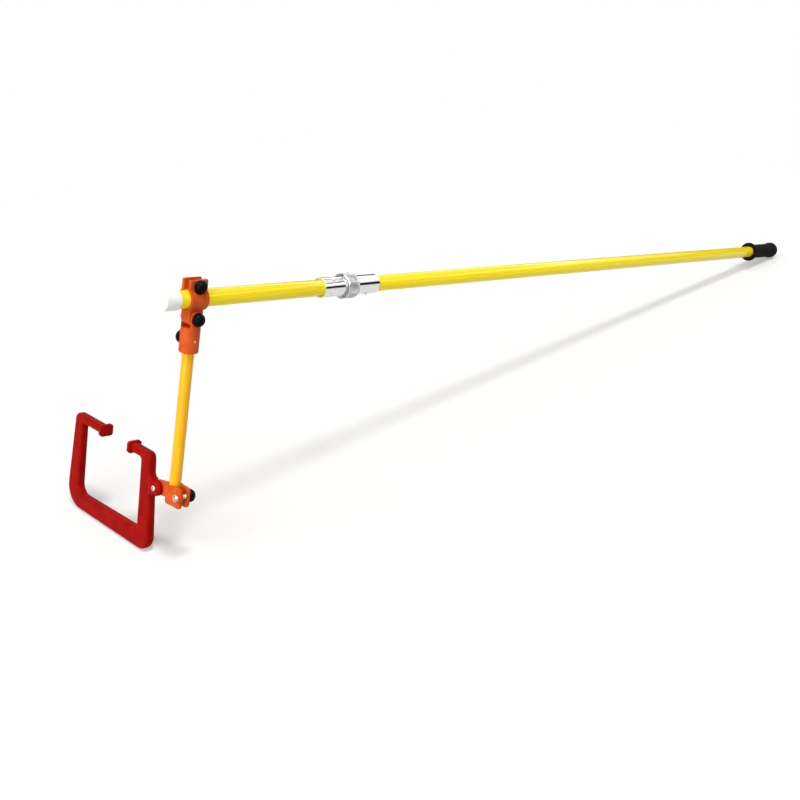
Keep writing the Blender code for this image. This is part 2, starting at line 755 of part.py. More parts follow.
def rod_clamp_fasteners(seat, materials):
    place = (0, -rod_clamp_bolt_reach, rod_clamp_bolt_rise)
    nut_start = nut_pocket_floor() + seat_gap
    hex_nut("rod_clamp_nut", seat, place, nut_start, along_pole * -1, materials)
    axis = make_empty("rod_clamp_bolt_axis", seat, place)
    knob_start = rod_clamp_ear_face + seat_gap
    bolt_start = -(nut_start + nut_thickness + bolt_chamfer)
    bolt_end = knob_start + knob_bore_depth - seat_gap
    bolt("rod_clamp_bolt", axis, bolt_start, bolt_end, bolt_radius, along_pole, materials)
    knob("rod_clamp_knob", axis, knob_start, bolt_radius + bolt_gap, along_pole, materials)


def holder_corners():
    # The C in its own plane: y across, z up, counter-clockwise seen from +X, pivot at 0, 0.
    foot = -frame_foot_drop
    top = frame_arm_rise
    height = top - foot
    base_top = foot + base_height
    arm_under = top - arm_height

    def near_edge(z):
        return frame_near_foot + (frame_near_top - frame_near_foot) * (z - foot) / height

    far_foot = frame_near_foot + frame_foot_width
    far_top = frame_near_top + frame_top_width
    near_jaw_back = frame_near_top + near_arm_length - jaw_thickness / 2
    far_jaw_back = frame_near_top + near_arm_length + jaw_gap + jaw_thickness / 2
    lug = lap_lug_radius
    corners = [
        (near_edge(foot), foot, foot_near_round),
        (far_foot, foot, foot_far_round),
        (far_top, top, shoulder_round),
        (far_jaw_back, top, 0),
        (far_jaw_back, arm_under, 0),
        (far_top - far_top_width, arm_under, arm_fillet),
        (far_foot - far_foot_width, base_top, inner_far_round),
        (near_edge(foot) + near_foot_width, base_top, inner_near_round),
        (frame_near_top + near_top_width, arm_under, arm_fillet),
        (near_jaw_back, arm_under, 0),
        (near_jaw_back, top, 0),
        (frame_near_top, top, shoulder_round),
        (near_edge(lug), lug, lap_fillet),
        (-lug, lug, lug * 0.999),
        (-lug, -lug, lug * 0.999),
        (near_edge(-lug), -lug, lap_fillet),
    ]
    return corners


def jaw_head(middle_y, arm_under):
    # A chamfered T-shaped head across the end of an arm.
    half = jaw_length / 2
    low = arm_under + arm_height / 2 - jaw_height / 2
    high = low + jaw_height
    cut = jaw_chamfer
    corners = [(-half + cut, low, 0), (half - cut, low, 0), (half, low + cut, 0)]
    corners += [(half, high - cut, 0), (half - cut, high, 0), (-half + cut, high, 0)]
    corners += [(-half, high - cut, 0), (-half, low + cut, 0)]
    axes = (along_pole, away_from_rod, across_pole * -1)
    return shifted(slab(corners, jaw_thickness, axes, 0.0008, 1), (0, middle_y, 0))


def holder_frame(swivel, materials):
    axes = (across_pole, away_from_rod, along_pole)
    shape = slab(holder_corners(), frame_depth, axes, frame_edge_round, 4)
    item = make_object("holder_frame", shape, swivel, material=materials["holder"])
    arm_under = frame_arm_rise - arm_height
    near_face = frame_near_top + near_arm_length
    for middle in (near_face - jaw_thickness / 2, near_face + jaw_gap + jaw_thickness / 2):
        combine(item, jaw_head(middle, arm_under), "UNION")
    back = frame_depth / 2 + 0.001
    front = frame_depth / 2 - tongue_thickness - running_gap
    lap = rod_shape(front, back, tongue_radius + 2 * running_gap, along_pole, 0, round_segments)
    combine(item, lap, "DIFFERENCE")
    root = box_shape((front, -lap_lug_radius * 2, -lap_lug_radius * 2),
                     (back, tongue_radius * 0.6, lap_lug_radius * 2))
    combine(item, root, "DIFFERENCE")
    pivot_hole = rod_shape(-back, back, pivot_radius + bolt_gap, along_pole)
    combine(item, pivot_hole, "DIFFERENCE")
    finish(item)
    return item


def pivot_fasteners(clamp_seat, place, materials):
    # A headed pin through the lug and the tongue, held by a pressed cap behind.
    half = frame_depth / 2
    head = half + seat_gap
    tail = half + seat_gap
    profile = [(-head - pivot_head_height, 0), (-head - pivot_head_height, pivot_head_radius * 0.6)]
    profile += [(-head - pivot_head_height * 0.5, pivot_head_radius), (-head, pivot_head_radius)]
    profile += [(-head, pivot_radius), (tail + washer_thickness + 0.001, pivot_radius)]
    profile += [(tail + washer_thickness + 0.001, 0)]
    make_object("pivot_pin", turned(profile, along_pole, small_segments), clamp_seat, place,
                materials["zinc"])
    ring = pipe_shape(tail, tail + washer_thickness, washer_radius * 0.9, pivot_radius + bolt_gap,
                      along_pole, small_segments)
    make_object("pivot_washer", ring, clamp_seat, place, materials["zinc"])


def lowest_point(item):
    places = [item.matrix_world @ vertex.co for vertex in item.data.vertices]
    return min(places, key=lambda place: place.z)


def stand_on_floor(root):
    # Tilts the pole until the end of its grip and the holder's foot are at one level, then
    # moves it so that its bounding box is centred over the world's origin.
    tilt = 0.2
    for step in range(5):
        root.rotation_euler = (0, tilt, 0)
        bpy.context.view_layer.update()
        heel = lowest_point(bpy.data.objects["grip"])
        foot = lowest_point(bpy.data.objects["holder_frame"])
        tilt += (heel.z - foot.z) / (heel.x - foot.x)
    low = Vector((math.inf,) * 3)
    high = Vector((-math.inf,) * 3)
    for item in bpy.data.objects:
        if item.type == "MESH":
            for vertex in item.data.vertices:
                place = item.matrix_world @ vertex.co
                low = Vector(map(min, low, place))
                high = Vector(map(max, high, place))
    root.location = (-(low.x + high.x) / 2, -(low.y + high.y) / 2, -low.z)
    bpy.context.view_layer.update()


def build():
    clear_scene()
    materials = make_materials()
    root = make_empty("pole_frame")
    rear_tube(root, materials)
    rear_ferrule(root, materials)
    rear_rivet_place = rear_ferrule_end - rivet_inset
    rivet("rear_rivet", root, rear_rivet_place, away_from_rod * -1, materials)
    grip(root, materials)
    front = make_empty("front_section", root)
    front_tube(front, materials)
    front_cap(front, materials)
    front_ferrule(front, materials)
    front_rivet_place = coupling_front + rivet_inset
    rivet("front_rivet", front, front_rivet_place, away_from_rod, materials)
    coupling_nut(front, materials)
    clamp_seat = make_empty("clamp_seat", front, (clamp_center, 0, 0))
    head_clamp(front, materials)
    head_clamp_fasteners(clamp_seat, materials)
    swing = make_empty("swing_axis", front, (hinge_place, 0, -hinge_drop))
    swing.rotation_euler = (0, rod_lean, 0)
    rod_socket(swing, materials)
    hinge_fasteners(swing, materials)
    socket_fasteners(swing, materials)
    rod(swing, materials)
    rod_clamp_seat = make_empty("rod_clamp_seat", swing, (0, 0, -rod_clamp_drop))
    rod_clamp(rod_clamp_seat, materials)
    rod_clamp_fasteners(rod_clamp_seat, materials)
    pivot_place = (0, pivot_reach, rod_clamp_drop - pivot_drop)
    pivot_fasteners(rod_clamp_seat, pivot_place, materials)
    swivel = make_empty("swivel_axis", rod_clamp_seat, pivot_place)
    holder_frame(swivel, materials)
    stand_on_floor(root)


build()
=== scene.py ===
import json
import math
import bmesh
import bpy
from mathutils import Matrix, Quaternion, Vector


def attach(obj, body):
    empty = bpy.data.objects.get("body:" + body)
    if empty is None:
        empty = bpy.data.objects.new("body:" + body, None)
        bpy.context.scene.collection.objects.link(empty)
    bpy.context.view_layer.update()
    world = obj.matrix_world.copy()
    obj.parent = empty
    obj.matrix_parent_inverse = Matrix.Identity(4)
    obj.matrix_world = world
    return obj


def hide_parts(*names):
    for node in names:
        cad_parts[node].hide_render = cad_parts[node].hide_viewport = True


# Insulated installation pole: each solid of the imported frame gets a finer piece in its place.
# Lengths are in metres. X runs from the head of the pole to its grip, Z is up.

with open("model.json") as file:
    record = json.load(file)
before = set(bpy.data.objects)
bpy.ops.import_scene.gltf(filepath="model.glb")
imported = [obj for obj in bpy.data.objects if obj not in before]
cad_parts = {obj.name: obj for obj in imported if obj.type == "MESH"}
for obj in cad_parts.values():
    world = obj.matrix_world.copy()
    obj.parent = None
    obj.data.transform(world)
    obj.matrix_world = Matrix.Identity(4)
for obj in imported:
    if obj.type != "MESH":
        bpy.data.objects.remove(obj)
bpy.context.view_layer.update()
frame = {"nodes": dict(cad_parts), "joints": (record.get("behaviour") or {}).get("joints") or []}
joints = {joint["name"]: joint for joint in frame["joints"]}
across = Vector((0, 1, 0))

# distances that place every piece, measured along the pole from its front end
pole = {"ringStart": 0.392, "length": 2.151, "tube": 0.015, "wall": 0.0028}
rodArm = {"clampDrop": 0.310, "pivotReach": 0.048, "pivotDrop": 0.318}
slack = {"seat": 0.0003, "running": 0.0004}


def poleFrame():
    ring = joints["coupling_nut_turn"]
    along = Vector(ring["axis"]).normalized()
    start = Vector(ring["pos_m"]) - along * pole["ringStart"]
    turn = Matrix((along, across, along.cross(across))).transposed()
    return Matrix.Translation(start) @ turn.to_4x4()


def swingFrame():
    up = Vector(joints["rod_clamp_slide"]["axis"]).normalized()
    turn = Matrix((across.cross(up), across, up)).transposed()
    return Matrix.Translation(joints["rod_swing"]["pos_m"]) @ turn.to_4x4()


def moved(place, x=0.0, y=0.0, z=0.0):
    return place @ Matrix.Translation((x, y, z))


def aimed(place, direction):
    # turns a piece made along X so that it points along another axis of its frame
    return place @ Vector((1, 0, 0)).rotation_difference(Vector(direction)).to_matrix().to_4x4()


onPole = poleFrame()
onSwing = swingFrame()
onRodClamp = moved(onSwing, z=-rodArm["clampDrop"])
onPivot = moved(onSwing, y=rodArm["pivotReach"], z=-rodArm["pivotDrop"])


# Modelling

def clearSelection():
    for item in bpy.context.selected_objects:
        item.select_set(False)


def pick(item):
    clearSelection()
    item.select_set(True)
    bpy.context.view_layer.objects.active = item


def roundCorners(corners, closed, steps=8):
    # corners hold (x, y, radius); a radius of 0 keeps a corner sharp
    places = [Vector(corner[:2]) for corner in corners]
    count = len(places)
    points = []
    for index, corner in enumerate(places):
        radius = corners[index][2]
        if radius == 0 or (not closed and index in (0, count - 1)):
            points.append(corner)
            continue
        toBefore = (places[index - 1] - corner).normalized()
        toAfter = (places[(index + 1) % count] - corner).normalized()
        half = toBefore.angle(toAfter) / 2
        middle = corner + (toBefore + toAfter).normalized() * (radius / math.sin(half))
        first = corner + toBefore * (radius / math.tan(half)) - middle
        last = corner + toAfter * (radius / math.tan(half)) - middle
        sweep = (math.pi - 2 * half) * (1 if first.cross(last) > 0 else -1)
        for step in range(steps + 1):
            angle = sweep * step / steps
            turned = Matrix.Rotation(angle, 2) @ first
            points.append(middle + turned)
    return points


def tracePath(name, points):
    # a plane merged to one point, then extruded from point to point
    clearSelection()
    bpy.ops.mesh.primitive_plane_add(size=0.001, location=(0, 0, 0))
    piece = bpy.context.object
    piece.name = piece.data.name = name
    bpy.ops.object.mode_set(mode="EDIT")
    bpy.ops.mesh.select_all(action="SELECT")
    bpy.ops.mesh.merge(type="CENTER")
    bpy.ops.transform.translate(value=points[0])
    for before, after in zip(points, points[1:]):
        bpy.ops.mesh.extrude_region_move(TRANSFORM_OT_translate={"value": after - before})
    return piece


def closeUp():
    bpy.ops.mesh.select_all(action="SELECT")
    bpy.ops.mesh.remove_doubles(threshold=2e-6)
    bpy.ops.mesh.normals_make_consistent(inside=False)
    bpy.ops.object.mode_set(mode="OBJECT")


def lathe(name, corners, ring=False, turns=96, steps=5):
    # spins corners (place, radius, rounding) round X; a ring's profile closes on itself
    outline = roundCorners(corners, ring, steps)
    if ring:
        outline.append(outline[0].copy())
    piece = tracePath(name, [Vector((point.x, 0, point.y)) for point in outline])
    bpy.ops.mesh.select_all(action="SELECT")
    bpy.ops.mesh.spin(steps=turns, angle=math.tau, center=(0, 0, 0), axis=(1, 0, 0))
    closeUp()
    return piece


def extrudeOutline(name, corners, depth, steps=8):
    # an outline in Y and Z, extruded along X and centred on it
    outline = roundCorners(corners, True, steps)
    piece = tracePath(name, [Vector((-depth / 2, point.x, point.y)) for point in outline])
    bpy.ops.mesh.select_all(action="SELECT")
    bpy.ops.mesh.edge_face_add()
    bpy.ops.mesh.extrude_region_move(TRANSFORM_OT_translate={"value": (depth, 0, 0)})
    closeUp()
    return piece


def applyModifier(piece, kind, **settings):
    pick(piece)
    modifier = piece.modifiers.new(kind.lower(), kind)
    for key, value in settings.items():
        setattr(modifier, key, value)
    bpy.ops.object.modifier_apply(modifier=modifier.name)


def roundEdges(piece, width, segments=3, angle=35):
    applyModifier(piece, "BEVEL", width=width, segments=segments, limit_method="ANGLE",
                  angle_limit=math.radians(angle), use_clamp_overlap=False)


def combine(piece, tool, operation="DIFFERENCE"):
    applyModifier(piece, "BOOLEAN", operation=operation, object=tool, solver="MANIFOLD")
    bpy.data.objects.remove(tool)


def soften(piece, grain, passes, keep):
    # rounds every edge and inner corner a little, as a mould or a coating does
    applyModifier(piece, "REMESH", mode="VOXEL", voxel_size=grain)
    applyModifier(piece, "SMOOTH", factor=0.5, iterations=passes)
    applyModifier(piece, "DECIMATE", ratio=keep)


def setDown(piece, place):
    # puts a piece into the row frame, with its place in its mesh
    pick(piece)
    piece.matrix_world = place
    bpy.ops.object.transform_apply(location=True, rotation=True, scale=True)
    return piece


def dress(piece, material, body, node, angle=35):
    piece.data.materials.clear()
    piece.data.materials.append(material)
    pick(piece)
    bpy.ops.object.shade_smooth_by_angle(angle=math.radians(angle))
    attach(piece, body)
    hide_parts(node)
    return piece


def mouldedCopy(name, node):
    # a merged copy of a solid of the frame, to be softened
    pick(frame["nodes"][node])
    bpy.ops.object.duplicate()
    piece = bpy.context.object
    piece.parent = None
    piece.name = piece.data.name = name
    for key in list(piece.keys()):
        del piece[key]
    bpy.ops.object.mode_set(mode="EDIT")
    bpy.ops.mesh.select_all(action="SELECT")
    bpy.ops.mesh.remove_doubles(threshold=1e-5)
    bpy.ops.object.mode_set(mode="OBJECT")
    return piece


# Materials

def sRgb(code):
    channels = [int(code[index:index + 2], 16) / 255 for index in (1, 3, 5)]
    linear = [c / 12.92 if c <= 0.04045 else ((c + 0.055) / 1.055) ** 2.4 for c in channels]
    return (*linear, 1.0)


def addNode(tree, kind, links=None, **settings):
    # adds one node; links maps its input names to another node's output or a value
    node = tree.nodes.new(kind)
    for key, value in settings.items():
        setattr(node, key, value)
    for key, value in (links or {}).items():
        if isinstance(value, bpy.types.NodeSocket):
            tree.links.new(value, node.inputs[key])
        else:
            node.inputs[key].default_value = value
    return node


def startMaterial(name, **shaderValues):
    material = bpy.data.materials.new(name)
    material.use_nodes = True
    shader = material.node_tree.nodes["Principled BSDF"]
    for key, value in shaderValues.items():
        shader.inputs[key.replace("_", " ")].default_value = value
    return material, material.node_tree, shader


def surfacePlace(tree, turn=0.0, grain=(1, 1, 1)):
    # object coordinates turned about Y to a piece's own axis, then divided by the grain size
    place = addNode(tree, "ShaderNodeTexCoord")
    mapping = addNode(tree, "ShaderNodeMapping",
                      {"Vector": place.outputs["Object"], "Rotation": (0, turn, 0),
                       "Scale": grain}, vector_type="TEXTURE")
    return mapping.outputs["Vector"]


def colourBetween(tree, shader, factor, first, second, low=0.35, high=0.65):
    ramp = addNode(tree, "ShaderNodeValToRGB", {"Fac": factor})
    ramp.color_ramp.elements[0].position = low
    ramp.color_ramp.elements[1].position = high
    ramp.color_ramp.elements[0].color = sRgb(first)
    ramp.color_ramp.elements[1].color = sRgb(second)
    tree.links.new(ramp.outputs["Color"], shader.inputs["Base Color"])


def roughBetween(tree, shader, factor, low, high):
    spread = addNode(tree, "ShaderNodeMapRange", {"Value": factor, "To Min": low, "To Max": high})
    tree.links.new(spread.outputs["Result"], shader.inputs["Roughness"])


def bumpFrom(tree, shader, height, depth, before=None):
    # depth is the real height of the pattern in metres
    bump = addNode(tree, "ShaderNodeBump", {"Height": height, "Strength": 1.0, "Distance": depth})
    if before:
        tree.links.new(before.outputs["Normal"], bump.inputs["Normal"])
    tree.links.new(bump.outputs["Normal"], shader.inputs["Normal"])
    return bump


poleTilt = math.atan2(onPole[0][2], onPole[0][0])
rodTilt = math.atan2(onSwing[0][2], onSwing[0][0])


def pultrudedFibreglass(name, light, deep, tilt, along, gloss):
    # clear resin over long glass strands: streaks along the tube and a faint orange peel
    material, tree, shader = startMaterial(name, Roughness=0.24, Specular_IOR_Level=0.12,
                                           Coat_Weight=gloss, Coat_Roughness=0.04)
    long, thin = 0.07, 0.0014
    strand = (long, thin, thin) if along == "x" else (thin, thin, long)
    streaks = addNode(tree, "ShaderNodeTexNoise",
                      {"Vector": surfacePlace(tree, tilt, strand), "Scale": 1.0,
                       "Detail": 4.0, "Roughness": 0.6})
    colourBetween(tree, shader, streaks.outputs["Fac"], deep, light, 0.25, 0.75)
    peel = addNode(tree, "ShaderNodeTexNoise", {"Vector": surfacePlace(tree), "Scale": 260.0,
                                                "Detail": 2.0})
    roughBetween(tree, shader, streaks.outputs["Fac"], 0.18, 0.32)
    bumpFrom(tree, shader, peel.outputs["Fac"], 0.00006)
    return material


def mouldedNylon(name, light, deep):
    # injection-moulded nylon: a fine spark-eroded grain over soft flow marks
    material, tree, shader = startMaterial(name, Specular_IOR_Level=0.12,
                                           Subsurface_Weight=0.06, Subsurface_Scale=0.002)
    shader.inputs["Subsurface Radius"].default_value = (1.0, 0.35, 0.1)
    flow = addNode(tree, "ShaderNodeTexNoise", {"Vector": surfacePlace(tree), "Scale": 55.0,
                                                "Detail": 5.0, "Roughness": 0.55})
    colourBetween(tree, shader, flow.outputs["Fac"], deep, light)
    grain = addNode(tree, "ShaderNodeTexVoronoi", {"Vector": surfacePlace(tree), "Scale": 1100.0})
    roughBetween(tree, shader, flow.outputs["Fac"], 0.34, 0.52)
    bumpFrom(tree, shader, grain.outputs["Distance"], 0.00005)
    return material


def coatedCasting(name, light, deep):
    # sand-cast light alloy under thick powder coat: orange peel over a soft uneven skin
    material, tree, shader = startMaterial(name, Specular_IOR_Level=0.03)
    skin = addNode(tree, "ShaderNodeTexNoise", {"Vector": surfacePlace(tree), "Scale": 42.0,
                                                "Detail": 4.0, "Roughness": 0.5})
    colourBetween(tree, shader, skin.outputs["Fac"], deep, light)
    peel = addNode(tree, "ShaderNodeTexNoise", {"Vector": surfacePlace(tree), "Scale": 620.0,
                                                "Detail": 1.5})
    roughBetween(tree, shader, skin.outputs["Fac"], 0.30, 0.46)
    first = bumpFrom(tree, shader, skin.outputs["Fac"], 0.00035)
    bumpFrom(tree, shader, peel.outputs["Fac"], 0.00010, first)
    return material


def darkMoulding(name, light, deep, low, high, grainScale, grainDepth):
    # filled plastic or rubber: near black, with a fine grain and uneven sheen
    material, tree, shader = startMaterial(name, Specular_IOR_Level=0.05)
    cloud = addNode(tree, "ShaderNodeTexNoise", {"Vector": surfacePlace(tree), "Scale": 70.0,
                                                 "Detail": 4.0})
    colourBetween(tree, shader, cloud.outputs["Fac"], deep, light)
    grain = addNode(tree, "ShaderNodeTexNoise", {"Vector": surfacePlace(tree),
                                                 "Scale": grainScale, "Detail": 3.0})
    roughBetween(tree, shader, cloud.outputs["Fac"], low, high)
    bumpFrom(tree, shader, grain.outputs["Fac"], grainDepth)
    return material


def whitePolyethylene(name):
    # soft white cap: slightly see-through, with handling marks
    material, tree, shader = startMaterial(name, IOR=1.5, Subsurface_Weight=0.12,
                                           Subsurface_Scale=0.003)
    marks = addNode(tree, "ShaderNodeTexNoise", {"Vector": surfacePlace(tree), "Scale": 90.0,
                                                 "Detail": 6.0, "Roughness": 0.65})
    colourBetween(tree, shader, marks.outputs["Fac"], "#ece8e3", "#f8f6f3")
    roughBetween(tree, shader, marks.outputs["Fac"], 0.36, 0.55)
    bumpFrom(tree, shader, marks.outputs["Fac"], 0.00008)
    return material


def turnedMetal(name, light, deep, low, high, tilt, lineWidth, lineDepth):
    # metal turned on a lathe: fine rings round its axis and patchy polish
    material, tree, shader = startMaterial(name, Metallic=1.0)
    rings = addNode(tree, "ShaderNodeTexNoise",
                    {"Vector": surfacePlace(tree, tilt, (lineWidth, 0.06, 0.06)),
                     "Scale": 1.0, "Detail": 3.0, "Roughness": 0.6})
    patches = addNode(tree, "ShaderNodeTexNoise", {"Vector": surfacePlace(tree), "Scale": 120.0,
                                                   "Detail": 4.0})
    colourBetween(tree, shader, patches.outputs["Fac"], deep, light)
    roughBetween(tree, shader, patches.outputs["Fac"], low, high)
    bumpFrom(tree, shader, rings.outputs["Fac"], lineDepth)
    return material


finishes = {
    "pole": pultrudedFibreglass("pultrudedFibreglassYellow", "#f8e40f", "#f1d30c", poleTilt, "x",
                                0.45),
    "rod": pultrudedFibreglass("pultrudedFibreglassAmber", "#f2b80f", "#e69c05", rodTilt, "z",
                               0.3),
    "clamp": mouldedNylon("mouldedNylonOrange", "#cd561c", "#c04715"),
    "holder": coatedCasting("coatedCastingRed", "#980c06", "#840904"),
    "knob": darkMoulding("phenolicBlack", "#0c0c0d", "#060606", 0.22, 0.38, 500.0, 0.00003),
    "grip": darkMoulding("mouldedRubberBlack", "#131313", "#0a0a0a", 0.55, 0.75, 900.0, 0.00012),
    "cap": whitePolyethylene("polyethyleneWhite"),
    "ferrule": turnedMetal("polishedAlloy", "#f4f4f4", "#eaeaea", 0.03, 0.07, poleTilt, 0.0004,
                           0.000003),
    "ring": turnedMetal("knurledAlloy", "#d8dadb", "#bfc1c3", 0.30, 0.44, poleTilt, 0.0007,
                        0.00002),
    "fastener": turnedMetal("zincPlatedSteel", "#d6d2c6", "#bdb9ae", 0.24, 0.40, poleTilt, 0.0007,
                            0.00001),
}
print("materials ready:", len(finishes))


# Tubes, cap and grip

tubes = {"frontStart": -0.0057, "frontEnd": 0.370, "rearStart": 0.4363, "rearEnd": 2.1427,
         "edge": 0.0004}


def makeTube(name, start, end, body, node):
    outer, inner, edge = pole["tube"], pole["tube"] - pole["wall"], tubes["edge"]
    corners = [(start, inner, edge), (start, outer, edge), (end, outer, edge), (end, inner, edge)]
    piece = lathe(name, corners, ring=True, turns=96, steps=3)
    setDown(piece, onPole)
    dress(piece, finishes["pole"], body, node)


cap = {"start": -0.009, "length": 0.0295, "radius": 0.0167, "bore": 0.0153, "floor": 0.003,
       "round": 0.0014, "grooveInset": 0.0020, "grooveWidth": 0.0014, "grooveSlope": 0.0004,
       "grooveDepth": 0.0005}


def makeFrontCap():
    lip, radius, slope = cap["length"], cap["radius"], cap["grooveSlope"]
    grooveEnd = lip - cap["grooveInset"]
    grooveStart = grooveEnd - cap["grooveWidth"]
    corners = [(0, 0, 0), (0, radius, cap["round"]), (grooveStart, radius, 0.0008),
               (grooveStart + slope, radius - cap["grooveDepth"], 0.0004),
               (grooveEnd - slope, radius - cap["grooveDepth"], 0.0004),
               (grooveEnd, radius, 0.0006), (lip, radius, 0.0005),
               (lip, cap["bore"], 0.0003), (cap["floor"], cap["bore"], 0.0004),
               (cap["floor"], 0, 0)]
    piece = lathe("frontCapCup", corners, steps=5)
    setDown(piece, moved(onPole, cap["start"]))
    dress(piece, finishes["cap"], "front_pole", "front_cap")


grip = {"length": 0.149, "bore": 0.0153, "flange": 0.0255, "flangeWidth": 0.006,
        "flangeSlope": 0.001, "flangeRound": 0.0016, "waist": 0.0183, "waistEnd": 0.013,
        "belly": 0.0189, "bellyStart": 0.022, "swell": 0.0213, "dome": 0.0105, "end": 0.008,
        "grooves": 6, "grooveWidth": 0.0022, "grooveDepth": 0.0005, "grooveFloor": 0.4}


def makeGrip():
    start = pole["length"] - grip["length"]
    end = pole["length"]
    firstGroove = start + 3 * grip["flangeWidth"]
    lastGroove = end - grip["dome"] - 2 * grip["flangeWidth"]
    pitch = (lastGroove - firstGroove) / grip["grooves"]
    corners = [(end, 0, 0), (end, grip["swell"], grip["dome"]), (lastGroove, grip["swell"], 0.006)]
    for index in reversed(range(grip["grooves"])):
        place = firstGroove + pitch * (index + 0.5)
        for side, depth in ((1, 0), (grip["grooveFloor"], 1), (-grip["grooveFloor"], 1), (-1, 0)):
            radius = grip["belly"] - grip["grooveDepth"] * depth
            corners.append((place + side * grip["grooveWidth"], radius, 0.0006))
    flangeBack, cup = start + grip["flangeWidth"], end - grip["end"]
    corners += [(start + grip["bellyStart"], grip["belly"], 0.008),
                (start + grip["waistEnd"], grip["waist"], 0.006),
                (flangeBack + grip["flangeSlope"], grip["waist"], 0.004),
                (flangeBack - grip["flangeSlope"], grip["flange"], grip["flangeRound"]),
                (start, grip["flange"], grip["flangeRound"]), (start, grip["bore"], 0.0006),
                (cup, grip["bore"], 0.0008), (cup, 0, 0)]
    piece = lathe("gripSleeve", corners, steps=6)
    setDown(piece, onPole)
    dress(piece, finishes["grip"], "rear_pole", "grip")


makeTube("frontTubeShell", tubes["frontStart"], tubes["frontEnd"], "front_pole", "front_tube")
makeTube("rearTubeShell", tubes["rearStart"], tubes["rearEnd"], "rear_pole", "rear_tube")
makeFrontCap()
makeGrip()
print("tubes, cap and grip made")


# Coupling

coupling = {"front": 0.332, "joint": 0.386, "collarFront": 0.3912, "collarBack": 0.3952,
            "noseFront": 0.3955, "ringEnd": 0.415, "rearEnd": 0.471, "sleeve": 0.0180,
            "sleeveBore": 0.0153, "thread": 0.0197, "spigot": 0.011, "spigotLength": 0.030,
            "core": 0.0065, "ringRadius": 0.0232, "threadBore": 0.0201, "lipBore": 0.0195,
            "lip": 0.0048, "countersink": 0.0036, "rim": 0.0010, "mouth": 0.0014,
            "mouthRim": 0.0007, "frontRound": 0.0007, "backRound": 0.0026, "threadPitch": 0.0015,
            "threadDepth": 0.0006, "threadStart": 0.002, "threadStop": 0.004, "stepBack": 0.002,
            "band": 0.0042, "bandEdge": 0.0004, "teeth": 80, "toothRows": 4, "toothDepth": 0.978,
            "rowSlack": 0.0002, "rivetInset": 0.026, "rivetTurn": 28, "rivet": 0.0028,
            "rivetHeight": 0.0012}


def makeFrontFerrule():
    spigotEnd = coupling["collarBack"] + coupling["spigotLength"]
    outer, bore, core = coupling["sleeve"], coupling["sleeveBore"], coupling["core"]
    front, web = coupling["front"], tubes["frontEnd"] + slack["seat"]
    collarFront, collarBack = coupling["collarFront"], coupling["collarBack"]
    corners = [(front + coupling["mouth"], bore, 0), (front, outer - coupling["mouthRim"], 0),
               (front, outer, 0.0003), (collarFront, outer, 0),
               (collarFront, coupling["thread"], 0), (collarBack, coupling["thread"], 0),
               (collarBack, coupling["spigot"], 0),
               (spigotEnd, coupling["spigot"], 0.0009), (spigotEnd, core, 0.0006),
               (web, core, 0), (web, bore, 0)]
    piece = lathe("frontFerruleSleeve", corners, ring=True, turns=120)
    setDown(piece, onPole)
    dress(piece, finishes["ferrule"], "front_pole", "front_ferrule")


def makeRearFerrule():
    bore, outer = coupling["spigot"] + slack["running"], coupling["sleeve"]
    nose, end, step = coupling["noseFront"], coupling["rearEnd"], coupling["ringEnd"]
    tubeSeat = tubes["rearStart"] - slack["seat"]
    crest, pitch, back = coupling["thread"], coupling["threadPitch"], coupling["stepBack"]
    corners = [(nose, bore, 0.0008), (nose, crest, 0.0008)]
    place = nose + coupling["threadStart"]
    while place < step - coupling["threadStop"]:  # the thread is drawn as separate rings
        corners += [(place, crest, 0), (place + pitch / 2, crest - coupling["threadDepth"], 0)]
        place += pitch
    corners += [(step - back, crest, 0.0003), (step - back / 2, outer, 0.0003),
                (end, outer, 0.0006), (end, coupling["sleeveBore"], 0.0002),
                (tubeSeat, coupling["sleeveBore"], 0), (tubeSeat, bore, 0)]
    piece = lathe("rearFerruleSleeve", corners, ring=True, turns=120)
    setDown(piece, onPole)
    dress(piece, finishes["ferrule"], "rear_pole", "rear_ferrule")


def makeRing():
    length = coupling["ringEnd"] - coupling["joint"]
    radius, bore, lip = coupling["ringRadius"], coupling["threadBore"], coupling["lip"]
    band, sink, edge = coupling["band"], coupling["countersink"], coupling["bandEdge"]
    corners = [(sink, coupling["lipBore"], 0.0002), (0, radius - coupling["rim"], 0.0002),
               (0, radius, coupling["frontRound"]), (band, radius, 0),
               (band + edge, radius, 0), (length - band - edge, radius, 0),
               (length - band, radius, 0), (length, radius, coupling["backRound"]),
               (length, bore, 0.0004), (lip, bore, 0), (lip, coupling["lipBore"], 0)]
    rows, spare = coupling["toothRows"], coupling["rowSlack"]
    turns = coupling["teeth"] * rows
    piece = lathe("couplingRing", corners, ring=True, turns=turns, steps=4)
    bpy.ops.object.mode_set(mode="EDIT")  # half of each tooth's rows sink, for the knurl
    bpy.ops.mesh.select_all(action="DESELECT")
    shape = bmesh.from_edit_mesh(piece.data)
    for vertex in shape.verts:
        inBand = band + spare < vertex.co.x < length - band - spare
        row = round(math.atan2(vertex.co.z, vertex.co.y) / math.tau * turns)
        vertex.select = (inBand and vertex.co.yz.length > radius - spare
                         and row % rows < rows / 2)
    shape.select_flush_mode()
    bmesh.update_edit_mesh(piece.data)
    depth = coupling["toothDepth"]
    bpy.ops.transform.resize(value=(1, depth, depth), center_override=(0, 0, 0))
    bpy.ops.object.mode_set(mode="OBJECT")
    setDown(piece, moved(onPole, coupling["joint"]))
    dress(piece, finishes["ring"], "coupling_nut", "coupling_nut", 25)


